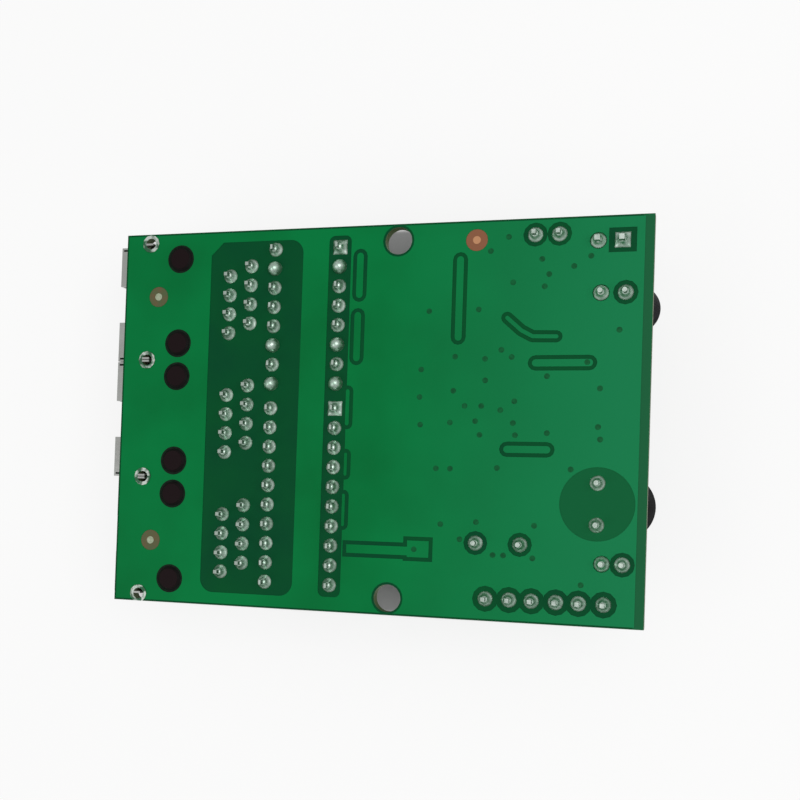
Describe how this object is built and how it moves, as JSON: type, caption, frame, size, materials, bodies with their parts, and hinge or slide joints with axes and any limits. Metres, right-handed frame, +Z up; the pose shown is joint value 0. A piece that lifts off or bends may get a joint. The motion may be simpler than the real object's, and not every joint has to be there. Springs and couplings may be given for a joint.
{
  "type": "ethernet switch board",
  "caption": "Small network switch circuit board lying solder side up, with shielded jacks along one edge, line transformers, a switch chip and its supply parts on the far side.",
  "frame": {"origin": "middle of the bounding box in plan, at the level of the jack tops it rests on", "axes": "+X from the jack edge to the far edge, +Y to the board edge with the power inlet, +Z up out of the solder side"},
  "size_m": [0.072, 0.05, 0.0169],
  "materials": {
    "laminate_mask": "solder mask over glass-fibre laminate",
    "masked_copper": "copper under solder mask",
    "bare_laminate": "bare laminate",
    "solder": "bright tin-lead solder",
    "jack_plastic": "moulded black",
    "jack_sheet": "tinned sheet",
    "contact_metal": "gold plated",
    "transformer_epoxy": "moulded black",
    "tinned_lead": "tinned",
    "chip_epoxy": "moulded black",
    "crystal_metal": "drawn steel, nickel plated",
    "ferrite": "sintered",
    "winding_copper": "enamelled copper wire",
    "shrink_sleeve": "shrunk black film",
    "can_aluminium": "drawn",
    "capacitor_sleeve": "shrunk dark film",
    "bung_rubber": "moulded",
    "lamp_epoxy": "tinted epoxy",
    "inlet_nylon": "moulded natural nylon",
    "resistor_glaze": "glazed alumina",
    "capacitor_ceramic": "fired ceramic",
    "diode_epoxy": "moulded black"
  },
  "bodies": {
    "root": {"big_capacitor_bung": "bung_rubber", "big_capacitor_can": "can_aluminium", "big_capacitor_leads": "tinned_lead", "big_capacitor_sleeve": "capacitor_sleeve", "chip_capacitor_bodies": "capacitor_ceramic", "chip_capacitor_ends": "tinned_lead", "chip_resistor_bodies": "resistor_glaze", "chip_resistor_ends": "tinned_lead", "choke_core": "ferrite", "choke_leads": "tinned_lead", "choke_sleeve": "shrink_sleeve", "choke_winding": "winding_copper", "circuit_board": "laminate_mask", "crystal_base": "crystal_metal", "crystal_can": "crystal_metal", "crystal_leads": "tinned_lead", "diode_body": "diode_epoxy", "diode_leads": "tinned_lead", "fiducial_marks": "bare_laminate", "jack_1_contacts": "contact_metal", "jack_1_housing": "jack_plastic", "jack_1_shield": "jack_sheet", "jack_2_contacts": "contact_metal", "jack_2_housing": "jack_plastic", "jack_2_shield": "jack_sheet", "jack_3_contacts": "contact_metal", "jack_3_housing": "jack_plastic", "jack_3_shield": "jack_sheet", "jack_pin_solder": "solder", "port_lamp_leads": "tinned_lead", "port_lamp_lenses": "lamp_epoxy", "power_inlet_housing": "inlet_nylon", "power_inlet_pins": "tinned_lead", "power_lamp_leads": "tinned_lead", "power_lamp_lens": "lamp_epoxy", "regulator_body": "chip_epoxy", "regulator_leads": "tinned_lead", "shield_tab_rings": "solder", "small_capacitor_bung": "bung_rubber", "small_capacitor_can": "can_aluminium", "small_capacitor_leads": "tinned_lead", "small_capacitor_sleeve": "capacitor_sleeve", "small_part_solder": "solder", "solder_side_copper": "masked_copper", "switch_chip_body": "chip_epoxy", "switch_chip_leads": "tinned_lead", "transformer_16_pin_body": "transformer_epoxy", "transformer_16_pin_leads": "tinned_lead", "transformer_20_pin_body": "transformer_epoxy", "transformer_20_pin_leads": "tinned_lead", "transformer_solder": "solder"}
  },
  "joints": []
}
